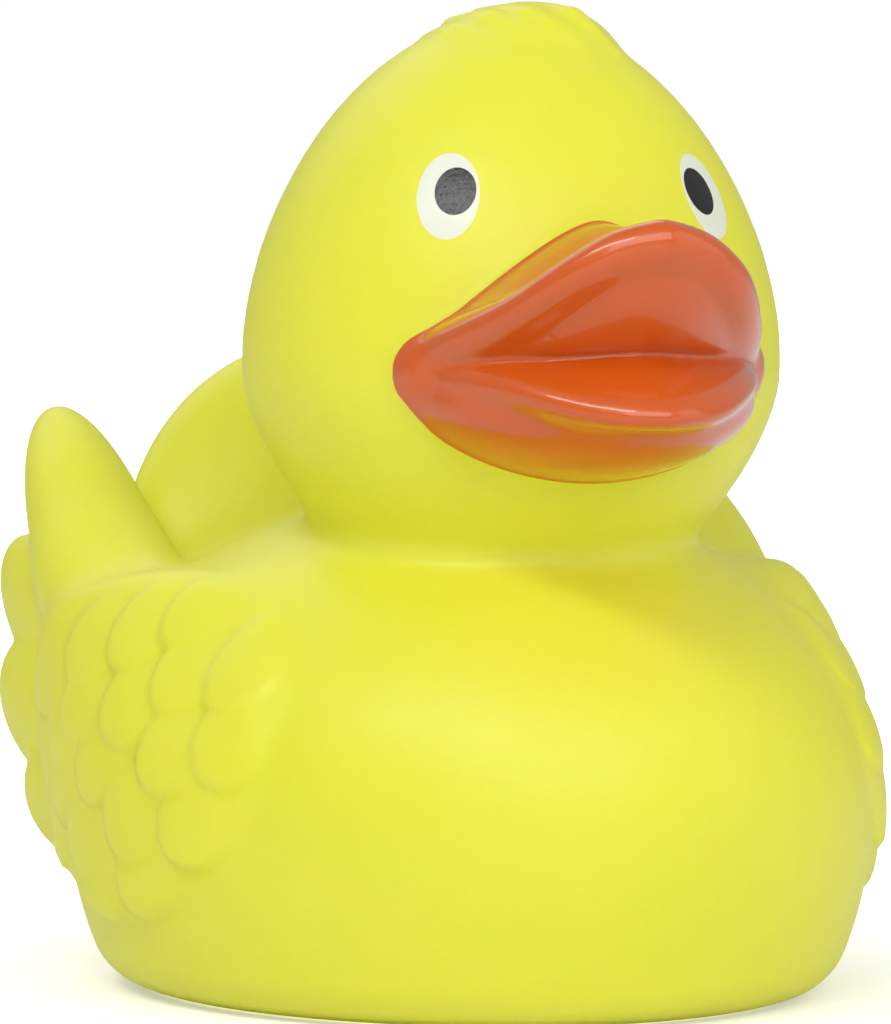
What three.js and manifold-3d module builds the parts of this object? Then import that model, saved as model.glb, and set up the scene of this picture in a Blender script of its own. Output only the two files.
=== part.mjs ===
// Soft vinyl bath duck with a press-in squeaker in its base.
// Millimetres, +Z up, the duck looks along -Y. The origin is the centre of its footprint.
import * as THREE from 'three'
import { mergeVertices } from 'three/addons/utils/BufferGeometryUtils.js'
import Module from 'manifold-3d'

const wasm = await Module()
wasm.setup()

// ---- driving dimensions ----

// Wall of the rotationally cast shell, and the gap kept between pieces that touch.
const WALL = 2
const GAP = 0.3

// Hull of the body: widest at height z, cut flat at z = 0 with a rounded lower edge.
const BODY = { y: 2.3, z: 16, halfWidth: 32, halfLength: 39.5, above: 24.7, below: 32, edge: 4 }

// Egg-shaped head: widest at height z, fullness is the exponent of the profile.
const HEAD = {
  y: -7.7, z: 50.7, halfWidth: 21.4, halfLength: 21.2, above: 27.6, below: 20.4,
  fullAbove: 1.75, fullBelow: 1.5,
}

// Fan tail: a flat ellipsoid leaning back.
const TAIL = { y: 27.5, z: 29, halfWidth: 21.5, halfThick: 8, halfHeight: 25.2, lean: 24 }

// Wings: a raised oval field on each side, and four long feathers that leave it at the back,
// joined by a thick blade behind the field.
const WING = { y: -1.3, z: 21, halfLength: 18.3, halfHeight: 13.8, relief: 1.8, inner: 14 }
const BLADE = { centre: [26, 14, 26], radii: [5, 13, 13] }
const FEATHERS = [
  { root: [25.8, 13, 28], tip: [25.2, 30.4, 43], rootRadius: 6.4, tipRadius: 3.2 },
  { root: [26.8, 13.4, 24], tip: [28.6, 29, 31.6], rootRadius: 5, tipRadius: 3.8 },
  { root: [27.6, 12, 19], tip: [29.4, 26, 23.4], rootRadius: 4.6, tipRadius: 3.8 },
  { root: [28.4, 9, 14.2], tip: [30, 19.6, 15.8], rootRadius: 4, tipRadius: 3.4 },
]

// Bill: its lengths are counted forward from the axis at y = BILL.y.
const BILL = { y: -9.2, halfWidth: 15, start: 12, length: 20.6, back: 8, fullness: 1.75 }
const UPPER = { top: 62.3, arch: 0.0455, mouth: 50.4, undercutFrom: 60.5, undercut: 0.0032, undercutPower: 1.9 }
const LOWER_LIP = { forward: 13, z: 48.4, radii: [13.2, 19.4, 3.8] }
const CHIN = { forward: 12, z: 47, radii: [13, 15.2, 5] }
const MOUTH_CORNER = { x: 13.6, forward: 13.2, z: 50.4, radius: 2.3 }

// Tuft: a low mound on the crown with three strands over it.
const CROWN = { centre: [1.4, -7.5, 75], radii: [7, 7.8, 4.3] }
const TUFT = [
  { root: [-2.8, -7, 77], tip: [-1.4, -13, 76], rootRadius: 1.6, tipRadius: 1.4 },
  { root: [-0.8, -6.6, 77.4], tip: [1.6, -13, 76.2], rootRadius: 1.7, tipRadius: 1.5 },
  { root: [2, -6.6, 77.4], tip: [5, -12, 75.8], rootRadius: 1.7, tipRadius: 1.5 },
]

// Squeaker seat moulded in the base, and the squeaker that snaps into it.
const SEAT = { y: 1.8, holeRadius: 7.3, recessRadius: 9.7, recessDepth: 1.5, bossRadius: 12 }
const SQUEAKER = {
  floorGap: 0.3, flange: 0.9, height: 10, bore: 5.2, soundHole: 1.5, beadOut: 0.9, beadHeight: 1,
}
const REED_BLOCK = { z: 3, height: 4, slotWidth: 2.4, slotLength: 6 }
const REED = { width: 3.2, length: 8, thick: 0.3 }

// Steps around and along the round shapes: the skin, the air space inside it, strands and
// small turned parts.
const SKIN = { around: 40, along: 13 }
const AIR = { around: 20, along: 8 }
const STRAND = { around: 12, along: 4 }
const SMALL = { around: 24, along: 8 }
const WINDOW_DEPTH = 200

// ---- solids ----

// A closed geometry as a manifold solid; triangles that a pole folds flat are left out.
function solid(geometry) {
  const bare = geometry.clone()
  for (const name of Object.keys(bare.attributes)) {
    if (name !== 'position') bare.deleteAttribute(name)
  }
  const merged = mergeVertices(bare, 1e-4)
  const index = merged.index.array
  const triangles = []
  for (let i = 0; i < index.length; i += 3) {
    const [a, b, c] = [index[i], index[i + 1], index[i + 2]]
    if (a !== b && b !== c && c !== a) triangles.push(a, b, c)
  }
  return new wasm.Manifold(new wasm.Mesh({
    numProp: 3,
    vertProperties: new Float32Array(merged.attributes.position.array),
    triVerts: new Uint32Array(triangles),
  }))
}

function geometryOf(manifold) {
  const mesh = manifold.getMesh()
  const geometry = new THREE.BufferGeometry()
  geometry.setAttribute('position', new THREE.BufferAttribute(mesh.vertProperties, 3))
  geometry.setIndex(new THREE.BufferAttribute(mesh.triVerts, 1))
  return geometry
}

// A profile of [radius, height] pairs turned about +Z.
function turned(profile, around = SMALL.around) {
  const points = profile.map(([radius, height]) => new THREE.Vector2(radius, height))
  return new THREE.LatheGeometry(points, around).rotateX(Math.PI / 2)
}

function ball(radii, centre, { around, along } = SMALL) {
  return new THREE.SphereGeometry(1, around, along)
    .rotateX(Math.PI / 2)
    .scale(...radii)
    .translate(...centre)
}

// ---- body ----

// Half outline of the hull, grown or shrunk by offset, from the flat base to the top.
function bodyProfile(offset, floor, along) {
  const radius = BODY.halfWidth + offset
  const below = BODY.below + offset
  const above = BODY.above + offset
  const edge = BODY.edge
  const start = Math.asin((BODY.z - floor - edge) / below)
  const side = radius * Math.cos(start)
  const profile = [[0, floor]]
  for (let i = 0; i <= 3; i += 1) {
    const turn = (i / 3) * (Math.PI / 2 - start)
    profile.push([
      side - edge * Math.cos(start) + edge * Math.sin(turn),
      floor + edge - edge * Math.cos(turn),
    ])
  }
  for (let i = 1; i <= along; i += 1) {
    const angle = -start + (i / along) * (Math.PI / 2 + start)
    const height = angle < 0 ? below : above
    profile.push([Math.max(0, radius * Math.cos(angle)), BODY.z + height * Math.sin(angle)])
  }
  profile[profile.length - 1][0] = 0
  return profile
}

function bodySolid(offset, floor, { around, along }) {
  const stretch = (BODY.halfLength + offset) / (BODY.halfWidth + offset)
  return solid(turned(bodyProfile(offset, floor, along), around)
    .scale(1, stretch, 1)
    .translate(0, BODY.y, 0))
}

// ---- head ----

function headProfile(offset, along) {
  const radius = HEAD.halfWidth + offset
  const profile = []
  for (let i = 0; i <= along; i += 1) {
    const angle = -Math.PI / 2 + (i / along) * Math.PI
    const upper = angle > 0
    const height = (upper ? HEAD.above : HEAD.below) + offset
    const fullness = upper ? HEAD.fullAbove : HEAD.fullBelow
    const level = Math.abs(Math.sin(angle))
    const width = radius * Math.sqrt(Math.max(0, 1 - level ** fullness))
    profile.push([width, HEAD.z + Math.sign(angle) * height * level])
  }
  profile[0][0] = 0
  profile[along][0] = 0
  return profile
}

function headSolid(offset, { around, along }) {
  const stretch = (HEAD.halfLength + offset) / (HEAD.halfWidth + offset)
  return solid(turned(headProfile(offset, along), around)
    .scale(1, stretch, 1)
    .translate(0, HEAD.y, 0))
}

// ---- tail ----

function tailSolid(offset, steps) {
  const radii = [TAIL.halfWidth + offset, TAIL.halfThick + offset, TAIL.halfHeight + offset]
  const lean = THREE.MathUtils.degToRad(-TAIL.lean)
  return solid(ball(radii, [0, 0, 0], steps).rotateX(lean).translate(0, TAIL.y, TAIL.z))
}

// ---- wings and tuft ----

// A round-ended tapered strand from root to tip.
function strand({ root, tip, rootRadius, tipRadius }) {
  const from = new THREE.Vector3(...root)
  const axis = new THREE.Vector3(...tip).sub(from)
  const length = axis.length()
  const profile = []
  for (let i = 0; i <= STRAND.along; i += 1) {
    const angle = -Math.PI / 2 + (i / STRAND.along) * (Math.PI / 2)
    profile.push([rootRadius * Math.cos(angle), rootRadius * Math.sin(angle)])
  }
  for (let i = 0; i <= STRAND.along; i += 1) {
    const angle = (i / STRAND.along) * (Math.PI / 2)
    profile.push([tipRadius * Math.cos(angle), length + tipRadius * Math.sin(angle)])
  }
  profile[0][0] = 0
  profile[profile.length - 1][0] = 0
  const up = new THREE.Vector3(0, 0, 1)
  const turn = new THREE.Quaternion().setFromUnitVectors(up, axis.normalize())
  return solid(turned(profile, STRAND.around).applyQuaternion(turn).translate(...root))
}

function mirrored(place) {
  return [-place[0], place[1], place[2]]
}

// The raised field is a slightly larger hull seen through an oval window from the side.
function wingField(side) {
  const window = new THREE.CylinderGeometry(1, 1, WINDOW_DEPTH, SKIN.around)
    .rotateZ(Math.PI / 2)
    .scale(1, WING.halfLength, WING.halfHeight)
    .translate(side * (WING.inner + WINDOW_DEPTH / 2), WING.y, WING.z)
  return bodySolid(WING.relief, 0, SKIN).intersect(solid(window))
}

function wingSolid(side) {
  const blade = side > 0 ? BLADE.centre : mirrored(BLADE.centre)
  let wing = wingField(side).add(solid(ball(BLADE.radii, blade)))
  for (const feather of FEATHERS) {
    const placed = side > 0
      ? feather
      : { ...feather, root: mirrored(feather.root), tip: mirrored(feather.tip) }
    wing = wing.add(strand(placed))
  }
  return wing
}

// ---- bill ----

// Distance from the bill's axis to its plan outline in a given direction.
function planReach(angle) {
  const across = Math.abs(Math.cos(angle)) / BILL.halfWidth
  const forward = Math.abs(Math.sin(angle)) / BILL.length
  return (across ** BILL.fullness + forward ** BILL.fullness) ** (-1 / BILL.fullness)
}

// Upper bill: a pointed oval in plan whose face leans back towards the mouth line.
function upperBill() {
  const geometry = new THREE.CylinderGeometry(1, 1, 1, SKIN.around, 4).rotateX(Math.PI / 2)
  const position = geometry.attributes.position
  for (let i = 0; i < position.count; i += 1) {
    const [x, y, level] = [position.getX(i), -position.getY(i), position.getZ(i) + 0.5]
    const reach = Math.hypot(x, y) > 1e-6 ? planReach(Math.atan2(y, x)) : 0
    const top = UPPER.top - UPPER.arch * (x * reach) ** 2
    const z = UPPER.mouth + (top - UPPER.mouth) * level
    const drop = Math.max(UPPER.undercutFrom - z, 0)
    const shrink = y > 0 ? 1 - UPPER.undercut * drop ** UPPER.undercutPower : 1
    const forward = BILL.start + Math.max(y * reach * shrink, BILL.back - BILL.start)
    position.setXYZ(i, x * reach, BILL.y - forward, z)
  }
  return solid(geometry)
}

function billSolid() {
  const lip = solid(ball(LOWER_LIP.radii, [0, BILL.y - LOWER_LIP.forward, LOWER_LIP.z]))
  const chin = solid(ball(CHIN.radii, [0, BILL.y - CHIN.forward, CHIN.z]))
  let bill = upperBill().add(lip).add(chin)
  for (const side of [-1, 1]) {
    const { x, forward, z, radius } = MOUTH_CORNER
    const centre = [side * x, BILL.y - forward, z]
    bill = bill.add(solid(ball([radius, radius, radius], centre, STRAND)))
  }
  return bill
}

// ---- shell ----

function disc(radius, low, high) {
  const profile = [[0, low], [radius, low], [radius, high], [0, high]]
  return solid(turned(profile).translate(0, SEAT.y, 0))
}

function duckShell() {
  let outside = bodySolid(0, 0, SKIN).add(headSolid(0, SKIN)).add(tailSolid(0, SMALL)).add(billSolid())
  for (const side of [-1, 1]) outside = outside.add(wingSolid(side))
  outside = outside.add(solid(ball(CROWN.radii, CROWN.centre)))
  for (const lock of TUFT) outside = outside.add(strand(lock))
  const boss = disc(SEAT.bossRadius, -WALL, WALL + SEAT.recessDepth)
  const air = bodySolid(-WALL, WALL, AIR)
    .add(headSolid(-WALL, AIR))
    .add(tailSolid(-WALL, AIR))
    .subtract(boss)
  const hole = disc(SEAT.holeRadius, -1, WALL + SEAT.recessDepth + 1)
  const recess = disc(SEAT.recessRadius, -1, SEAT.recessDepth)
  return outside.subtract(air).subtract(hole).subtract(recess)
}

// ---- squeaker ----

function squeakerHousing() {
  const { floorGap, flange, height, bore, soundHole, beadOut, beadHeight } = SQUEAKER
  const barrel = SEAT.holeRadius - GAP
  const rim = SEAT.recessRadius - GAP
  const flangeTop = floorGap + flange
  const beadLow = WALL + SEAT.recessDepth + GAP
  const profile = [
    [soundHole, floorGap],
    [rim, floorGap],
    [rim, flangeTop],
    [barrel, flangeTop],
    [barrel, beadLow],
    [barrel + beadOut, beadLow],
    [barrel, beadLow + beadHeight],
    [barrel, height],
    [bore, height],
    [bore, flangeTop],
    [soundHole, flangeTop],
    [soundHole, floorGap],
  ]
  return solid(turned(profile).translate(0, SEAT.y, 0))
}

function reedBlock() {
  const outline = new THREE.Shape().absarc(0, 0, SQUEAKER.bore - GAP, 0, Math.PI * 2)
  const [w, l] = [REED_BLOCK.slotWidth / 2, REED_BLOCK.slotLength / 2]
  const corners = [[-w, -l], [w, -l], [w, l], [-w, l]]
  outline.holes.push(new THREE.Path(corners.map(([x, y]) => new THREE.Vector2(x, y))))
  const options = { depth: REED_BLOCK.height, bevelEnabled: false, curveSegments: SMALL.around / 2 }
  return solid(new THREE.ExtrudeGeometry(outline, options).translate(0, SEAT.y, REED_BLOCK.z))
}

function reed() {
  const low = REED_BLOCK.z + REED_BLOCK.height + GAP
  return solid(new THREE.BoxGeometry(REED.width, REED.length, REED.thick)
    .translate(0, SEAT.y, low + REED.thick / 2))
}

// ---- pieces ----

const duck = new THREE.Group()

function addPiece(name, manifold, look) {
  const mesh = new THREE.Mesh(geometryOf(manifold), new THREE.MeshStandardMaterial(look))
  mesh.name = name
  duck.add(mesh)
}

addPiece('duck_body', duckShell(), { color: '#e3e63c', roughness: 0.45, metalness: 0 })
addPiece('squeaker_housing', squeakerHousing(), { color: '#f4f3ec', roughness: 0.4, metalness: 0 })
addPiece('squeaker_reed_block', reedBlock(), { color: '#dedcd2', roughness: 0.45, metalness: 0 })
addPiece('squeaker_reed', reed(), { color: '#c9c6b4', roughness: 0.35, metalness: 0 })

export default duck
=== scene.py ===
"""Soft vinyl bath duck: moulded skin with feathered wings, painted bill and eyes, and the squeaker
pressed into its base.  The skin is a signed distance, worked out in millimetres from the dimensions
below and turned into metres when its mesh is made.
"""
import math

import bpy
import numpy as np
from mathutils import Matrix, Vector


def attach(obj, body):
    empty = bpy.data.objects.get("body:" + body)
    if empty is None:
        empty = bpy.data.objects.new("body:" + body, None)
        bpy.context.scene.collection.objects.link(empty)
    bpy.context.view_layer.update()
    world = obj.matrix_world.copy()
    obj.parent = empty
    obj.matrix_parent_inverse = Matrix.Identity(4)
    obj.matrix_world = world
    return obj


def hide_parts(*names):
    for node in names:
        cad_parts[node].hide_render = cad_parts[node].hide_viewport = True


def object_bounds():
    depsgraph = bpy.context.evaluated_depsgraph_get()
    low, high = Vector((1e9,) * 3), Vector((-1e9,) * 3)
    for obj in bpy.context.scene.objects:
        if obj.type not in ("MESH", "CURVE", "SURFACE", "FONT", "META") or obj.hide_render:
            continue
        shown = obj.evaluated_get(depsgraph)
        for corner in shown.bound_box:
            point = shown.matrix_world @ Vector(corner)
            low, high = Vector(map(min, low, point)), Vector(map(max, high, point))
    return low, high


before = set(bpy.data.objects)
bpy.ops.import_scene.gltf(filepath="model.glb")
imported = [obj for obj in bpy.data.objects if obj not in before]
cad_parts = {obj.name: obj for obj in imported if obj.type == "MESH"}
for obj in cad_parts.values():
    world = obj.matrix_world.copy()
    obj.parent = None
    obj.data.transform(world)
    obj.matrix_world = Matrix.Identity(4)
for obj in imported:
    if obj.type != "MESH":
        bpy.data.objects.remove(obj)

bl_info = {
    "name": "Bath duck",
    "version": (1, 0, 0),
    "blender": (4, 5, 0),
    "location": "3D View > Sidebar > Bath duck",
    "description": "Builds a soft vinyl bath duck with feathered wings and a squeaker",
    "category": "Add Mesh",
}

MM = 0.001
CAD_BOX = [list(corner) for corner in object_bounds()]

# ---------------------------------------------------------------- shape, in millimetres
# The duck looks along -Y.  Shapes that come in pairs are given for the +X side.

# Body, head and tail.  A full_above or full_below of 2 gives an ellipse, and less gives a cone's look;
# flat rounds off the turn at the widest level.
BODY = dict(y=2.6, z=15.8, half_width=32.0, half_length=38.3, above=24.7, below=33.5, edge=3.6)
HEAD = dict(y=-7.7, z=50.7, half_width=21.45, half_length=21.2, above=27.6, below=20.4,
            full_above=1.62, full_below=1.35, flat=2.0)
TAIL = dict(y=27.5, z=29.0, half_width=21.5, half_thick=8.0, half_height=25.0, lean=24.0)

# The wing is an oval pad that stands off the body more and more towards its upper back, and
# four long feathers joined by a blade behind it.
WING = dict(y=-1.3, z=20.8, half_length=18.3, half_height=13.6, inner=19.0)
STAND_OFF = dict(front=-12.0, low=14.0, high=31.0, rise=0.55, spread=0.02, lift=2.4, flare=0.2,
                 power=1.5, limit=1.5)
BLADE = dict(centre=(26.0, 13.0, 23.5), radii=(4.4, 12.5, 11.0))
TOP_FEATHER = dict(root=(26.0, 9.4, 25.7), tip=(25.7, 33.4, 45.9), thick=5.8, wide=5.7, fullness=2.5)
SHOULDER = dict(root=(23.3, 1.0, 29.0), tip=(25.5, 18.0, 32.6), root_radius=3.2, tip_radius=3.6)
LOWER_FEATHERS = (
    dict(root=(26.5, 13.4, 23.5), tip=(29.5, 33.3, 33.7), thick=3.2, wide=6.4, fullness=3.6),
    dict(root=(27.5, 12.0, 19.0), tip=(30.5, 30.3, 24.4), thick=3.2, wide=6.4, fullness=3.6),
    dict(root=(28.2, 9.0, 14.2), tip=(30.6, 23.0, 16.2), thick=2.8, wide=5.2, fullness=3.6),
)

# Short feathers on the field: degrees forward of straight sideways, and height, row by row.
SHORT_FEATHERS = (
    (31, 27.7), (32, 22.1), (27, 15.7), (18, 32.0), (21, 27.2), (22, 21.1), (17, 11.1),
    (9, 30.2), (12, 24.4), (7, 19.5), (15, 15.7), (5, 10.1),
    (0, 28.7), (1, 24.2), (-4, 22.1), (-3, 17.3), (3, 13.7),
    (-12, 25.6), (-13, 19.4), (-9, 13.6),
)
WING_GIRTH = 35.0

# The bill is measured forward from the line y = BILL["y"].  Its face leans back under the rim by the
# undercut, its top falls off to the sides by the arch, and the shallow channel crosses its top.
BILL = dict(y=-9.2, half_width=13.2, start=12.5, length=18.8, back=8.0, fullness=1.7,
            top=62.2, arch=0.243, arch_power=1.4, mouth=52.2, mouth_drop=0.0115,
            undercut_from=60.0, undercut=0.0046, undercut_power=1.9, least_length=0.4, edge=1.5)
CHANNEL = dict(forward=25.0, depth=0.8, spread=3.0)

# The rolled rim of the upper bill, from its point to the mouth corner: aside, forward, height.
RIM_RADIUS = 1.3
RIM = (
    (0.0, 31.2, 60.6), (3.2, 30.2, 60.0), (5.2, 29.4, 58.9), (6.9, 28.1, 57.6), (8.5, 25.7, 56.0),
    (9.8, 23.0, 54.6), (10.9, 20.3, 53.5), (11.8, 17.5, 52.7), (12.6, 14.8, 51.8),
)

# The lower lip slopes down to its front in the middle and curls up towards the mouth corners.
LIP = dict(forward=13.0, z=47.4, radii=(13.7, 19.6, 3.8), fullness=1.7, slope=0.30, front=32.6,
           sweep=0.0925, level_at=14.0, rise=3.0, rise_at=9.5, rise_power=3.2)
CHIN = dict(forward=12.0, z=46.3, radii=(14.0, 15.2, 4.5), rise=0.010)
MOUTH_CORNER = dict(x=12.8, forward=13.7, z=50.5, radii=(2.3, 2.6, 2.5))

# A low mound on the crown, with locks of down that curve forward over it to one side.
CROWN = dict(centre=(1.4, -7.5, 75.0), radii=(7.2, 8.0, 4.5))
LOCKS = (
    dict(path=((-5.4, -5.0, 76.0), (-5.2, -9.6, 76.1), (-3.8, -13.0, 75.3)), radii=(1.0, 1.5, 1.0)),
    dict(path=((-3.6, -4.6, 77.3), (-2.5, -10.4, 77.1), (-0.9, -14.4, 75.4)), radii=(1.1, 1.7, 1.1)),
    dict(path=((-1.6, -5.2, 78.0), (0.1, -11.4, 77.3), (2.6, -14.6, 75.3)), radii=(1.1, 1.8, 1.1)),
    dict(path=((1.2, -6.4, 78.3), (3.4, -11.4, 77.2), (5.7, -13.3, 74.8)), radii=(1.2, 1.9, 1.3)),
)

# The printed eye on each side: an oval of white, its top tilted outwards by some degrees, with a dark
# oval nearer the bill.
EYE = dict(x=10.7, z=64.15, half_width=2.5, half_height=3.7, across=0.0, up=0.0, tilt=6.5)
PUPIL = dict(across=-0.6, up=0.3, half_width=1.65, half_height=2.05)

# The seat of the squeaker: a hole with a shallow recess round it, and a boss inside the skin.
SEAT = dict(y=1.8, hole=7.3, recess=9.7, recess_depth=1.5, boss=12.0, boss_height=3.5)

# Fillets where shapes meet.
FILLET = dict(tail=5.0, head=3.0, wing=1.6, wing_edge=1.6, wing_inner=1.0, shoulder=5.0, top_feather=3.0,
              feathers=0.7, lower_feathers=1.0, rim=1.6, mouth_line=1.0, lip=1.5, mouth=0.6,
              mouth_corner=1.6, lock=0.35, tuft=1.2, bill=0.9, boss=0.8)

# The lengths over which the short feathers fade out beside other shapes and at the pad's edge.
FADE = dict(beside=1.2, edge=0.8)

# Mesh steps: the first nets over the skin and its air space, the bend in degrees past which an edge is
# split, and the lengths at which splitting stops on such details and on feathers.  PATH_STEPS is how
# many straight runs stand for each stretch of a curved path.
NET_STEP = 1.25
AIR_STEP = 2.2
BEND = 9
PATH_STEPS = 3
DETAIL_EDGE = 0.51
FEATHER_EDGE = 0.644

# Brings the bill's steep distance nearer to a true one.
EVEN_SLOPE = 0.7


def soft_union(a, b, k):
    """Two shapes joined with a fillet of about k."""
    h = np.clip(0.5 + 0.5 * (b - a) / k, 0.0, 1.0)
    return b + (a - b) * h - k * h * (1.0 - h)


def soft_common(a, b, k):
    """What two shapes share, with its edge rounded by about k."""
    return -soft_union(-a, -b, k)


def ellipsoid(x, y, z, centre, radii):
    """About the distance to an ellipsoid along the axes."""
    x, y, z = x - centre[0], y - centre[1], z - centre[2]
    a, b, c = radii
    near = np.sqrt((x / a) ** 2 + (y / b) ** 2 + (z / c) ** 2)
    slope = np.sqrt((x / a**2) ** 2 + (y / b**2) ** 2 + (z / c**2) ** 2)
    return near * (near - 1.0) / np.maximum(slope, 1e-6)


def strand(x, y, z, root, tip, root_radius, tip_radius):
    """A round bar from root to tip that changes its radius evenly."""
    root, tip = np.array(root), np.array(tip)
    axis = tip - root
    along = (x - root[0]) * axis[0] + (y - root[1]) * axis[1] + (z - root[2]) * axis[2]
    along = np.clip(along / (axis @ axis), 0.0, 1.0)
    nearest = [start + along * run for start, run in zip(root, axis)]
    reach = np.sqrt((x - nearest[0]) ** 2 + (y - nearest[1]) ** 2 + (z - nearest[2]) ** 2)
    return reach - (root_radius + (tip_radius - root_radius) * along)


def egg(x, y, z, shape, full_above=2.0, full_below=2.0, flat=0.01):
    """A round form that is widest at its z, with its own height and fullness above and below."""
    y, z = y - shape["y"], z - shape["z"]
    height = np.where(z > 0, shape["above"], shape["below"])
    power = np.where(z > 0, full_above, full_below)
    level = (np.sqrt(z * z + flat * flat) - flat) / (np.sqrt(height**2 + flat**2) - flat)
    level = np.maximum(level, 1e-9)
    a, b = shape["half_width"], shape["half_length"]
    near = np.sqrt((x / a) ** 2 + (y / b) ** 2 + level**power)
    rise = 0.5 * power * level ** (power - 1.0) / height
    slope = np.sqrt((x / a**2) ** 2 + (y / b**2) ** 2 + rise**2) / np.maximum(near, 1e-6)
    return (near - 1.0) / np.maximum(slope, 1e-3)


def curved_strand(x, y, z, path, radii):
    """A round bar along a path, with its radius given at each point of it."""
    ends = zip(path[:-1], path[1:], radii[:-1], radii[1:])
    return np.minimum.reduce([strand(x, y, z, *end) for end in ends])


def leaf(x, y, z, root, tip, thick, wide, fullness):
    """A long blunt leaf that stands on edge: thick along X, wide across its own length."""
    root = np.array(root)
    axis = np.array(tip) - root
    length = np.linalg.norm(axis)
    axis /= length
    across = np.cross(axis, (1.0, 0.0, 0.0))
    across /= np.linalg.norm(across)
    out = np.cross(across, axis)
    x, y, z = x - root[0], y - root[1], z - root[2]
    placed = [x * way[0] + y * way[1] + z * way[2] for way in (out, across, axis)]
    shape = dict(y=0.0, z=0.0, half_width=thick, half_length=wide, above=length, below=wide)
    return egg(*placed, shape, fullness)


def lens(x, y, z, centre, radii, fullness):
    """A flat ellipsoid whose outline in plan has its own fullness: 2 is an ellipse, 1 a rhombus."""
    x, y, z = np.abs(x - centre[0]), np.abs(y - centre[1]), z - centre[2]
    a, b, c = radii
    x, y = np.sqrt((x / a) ** 2 + 1e-4), np.sqrt((y / b) ** 2 + 1e-4)
    plan = (x**fullness + y**fullness) ** (1.0 / fullness)
    near = np.sqrt(plan**2 + (z / c) ** 2)
    rate = plan ** (2.0 - fullness)
    along_x = rate * x ** (fullness - 1) / a
    along_y = rate * y ** (fullness - 1) / b
    slope = np.sqrt(along_x**2 + along_y**2 + (z / c**2) ** 2)
    return near * (near - 1.0) / np.maximum(slope, 1e-6)


def smooth_path(points, steps):
    """Points on a smooth curve through the given ones."""
    points = np.array(points, float)
    ends = np.vstack([2 * points[0] - points[1], points, 2 * points[-1] - points[-2]])
    path = []
    for a, b, c, d in zip(ends[:-3], ends[1:-2], ends[2:-1], ends[3:]):
        for t in np.arange(steps) / steps:
            line = (c - a) * t + (2 * a - 5 * b + 4 * c - d) * t**2 + (3 * b - a - 3 * c + d) * t**3
            path.append(b + 0.5 * line)
    path.append(points[-1])
    return path


def smooth_lock(path, radii):
    """A lock's smooth path, and its radius at each point of it."""
    points = smooth_path(path, PATH_STEPS)
    shares = np.linspace(0, 1, len(points))
    return points, np.interp(shares, np.linspace(0, 1, len(radii)), radii)


RIM_PATH = smooth_path(RIM, PATH_STEPS)
LOCK_PATHS = [smooth_lock(**lock) for lock in LOCKS]


def hull(x, y, z):
    """The body before its base is cut flat."""
    return egg(x, y, z, BODY)


def body(x, y, z):
    return soft_common(hull(x, y, z), -z, BODY["edge"])


def head(x, y, z):
    return egg(x, y, z, HEAD, HEAD["full_above"], HEAD["full_below"], HEAD["flat"])


def tail(x, y, z):
    """The fan: a flat ellipsoid that leans back."""
    lean = math.radians(TAIL["lean"])
    y, z = y - TAIL["y"], z - TAIL["z"]
    across = math.cos(lean) * y - math.sin(lean) * z
    up = math.sin(lean) * y + math.cos(lean) * z
    return ellipsoid(x, across, up, (0, 0, 0), (TAIL["half_width"], TAIL["half_thick"], TAIL["half_height"]))


def stand_off(y, z):
    """Height of the wing's pad above the body."""
    up = np.clip((z - STAND_OFF["low"]) / (STAND_OFF["high"] - STAND_OFF["low"]), 0.0, STAND_OFF["limit"])
    rise = STAND_OFF["rise"] + STAND_OFF["spread"] * (y - STAND_OFF["front"])
    return rise + up ** STAND_OFF["power"] * np.maximum(STAND_OFF["lift"] + STAND_OFF["flare"] * y, 0.0)


def feather_field(x, y, z):
    """The raised oval on the side of the body that the short feathers cover."""
    along, up = (y - WING["y"]) / WING["half_length"], (z - WING["z"]) / WING["half_height"]
    outline = (np.sqrt(along**2 + up**2) - 1.0) * WING["half_height"]
    field = soft_common(hull(x, y, z) - stand_off(y, z), outline, FILLET["wing_edge"])
    return soft_common(field, WING["inner"] - x, FILLET["wing_inner"])


def top_feather(x, y, z):
    """The long raised feather, and the shoulder that it grows from."""
    return soft_union(leaf(x, y, z, **TOP_FEATHER), strand(x, y, z, **SHOULDER), FILLET["shoulder"])


def lower_feathers(x, y, z):
    """The three long feathers behind the field, and the blade that joins them."""
    fan = ellipsoid(x, y, z, BLADE["centre"], BLADE["radii"])
    for feather in LOWER_FEATHERS:
        fan = soft_union(fan, leaf(x, y, z, **feather), FILLET["feathers"])
    return fan


def long_feathers(x, y, z):
    return soft_union(top_feather(x, y, z), lower_feathers(x, y, z), FILLET["feathers"])


def upper_bill(x, forward, z):
    """The broad upper half: an outline in plan under an arched top, cut off at the mouth line."""
    drop = np.maximum(BILL["undercut_from"] - z, 0.0)
    shrink = np.clip(1.0 - BILL["undercut"] * drop ** BILL["undercut_power"], BILL["least_length"], 1.0)
    across = (np.sqrt(x * x + 1.0) - 1.0) / BILL["half_width"]
    ahead = np.maximum(forward - BILL["start"], 0.0) / (BILL["length"] * shrink)
    n = BILL["fullness"]
    plan = ((across**n + ahead**n) ** (1.0 / n) - 1.0) * BILL["half_width"]
    plan = np.maximum(plan, BILL["back"] - forward)
    top = z - BILL["top"] + BILL["arch"] * (x * x + 1.0) ** (0.5 * BILL["arch_power"])
    channel = CHANNEL["depth"] * np.exp(-(((forward - CHANNEL["forward"]) / CHANNEL["spread"]) ** 2))
    shape = soft_common(plan, top + channel, BILL["edge"])
    mouth = BILL["mouth"] - BILL["mouth_drop"] * x * x - z
    shape = EVEN_SLOPE * soft_common(shape, mouth, FILLET["mouth_line"])
    rim = curved_strand(x, forward, z, RIM_PATH, [RIM_RADIUS] * len(RIM_PATH))
    return soft_union(shape, rim, FILLET["rim"])


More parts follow.
